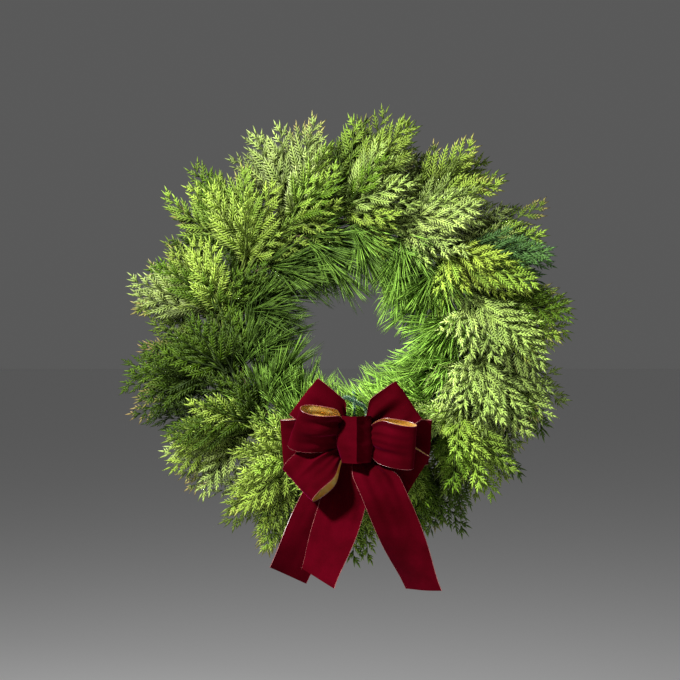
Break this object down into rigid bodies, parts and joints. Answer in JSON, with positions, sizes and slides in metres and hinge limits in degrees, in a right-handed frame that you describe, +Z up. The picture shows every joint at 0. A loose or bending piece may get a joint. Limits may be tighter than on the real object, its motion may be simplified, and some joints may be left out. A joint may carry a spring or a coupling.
{
  "type": "fresh evergreen wreath",
  "caption": "Round door wreath of fresh cedar sprays and long-needled pine on a clamp wire ring, with a velvet ribbon bow and tails tied on at the bottom.",
  "frame": {"origin": "underside of the outer wire rail at twelve o'clock, where a hanger's hook carries the wreath", "axes": "+Z up as it hangs, the front with the bow faces -Y, +X to the right as seen from the front"},
  "size_m": [0.6697, 0.1765, 0.6851],
  "materials": {
    "green_wire": "green enamelled wire",
    "cedar": "fresh cedar foliage, soft sheen",
    "pine": "fresh pine needles, soft sheen",
    "velvet": "burgundy velvet with a gold lining",
    "chenille": "fuzzy green chenille over wire"
  },
  "bodies": {
    "root": {"bow_center_loop": "velvet", "bow_loop_back_left": "velvet", "bow_loop_back_right": "velvet", "bow_loop_front_left": "velvet", "bow_loop_front_right": "velvet", "bow_loop_low_left": "velvet", "bow_loop_low_right": "velvet", "bow_loop_top_left": "velvet", "bow_loop_top_right": "velvet", "bow_tail_left_inner": "velvet", "bow_tail_left_outer": "velvet", "bow_tail_right": "velvet", "bow_tie": "chenille", "cedar_front_01": "cedar", "cedar_front_02": "cedar", "cedar_front_03": "cedar", "cedar_front_04": "cedar", "cedar_front_05": "cedar", "cedar_front_06": "cedar", "cedar_front_07": "cedar", "cedar_front_08": "cedar", "cedar_front_09": "cedar", "cedar_front_10": "cedar", "cedar_front_11": "cedar", "cedar_front_12": "cedar", "cedar_front_13": "cedar", "cedar_front_14": "cedar", "cedar_outer_01": "cedar", "cedar_outer_02": "cedar", "cedar_outer_03": "cedar", "cedar_outer_04": "cedar", "cedar_outer_05": "cedar", "cedar_outer_06": "cedar", "cedar_outer_07": "cedar", "cedar_outer_08": "cedar", "cedar_outer_09": "cedar", "cedar_outer_10": "cedar", "cedar_outer_11": "cedar", "cedar_outer_12": "cedar", "cedar_outer_13": "cedar", "cedar_outer_14": "cedar", "pine_inner_01": "pine", "pine_inner_02": "pine", "pine_inner_03": "pine", "pine_inner_04": "pine", "pine_inner_05": "pine", "pine_inner_06": "pine", "pine_inner_07": "pine", "pine_inner_08": "pine", "pine_inner_09": "pine", "pine_inner_10": "pine", "pine_inner_11": "pine", "pine_inner_12": "pine", "pine_inner_13": "pine", "pine_inner_14": "pine", "wire_ring_frame": "green_wire"}
  },
  "joints": []
}
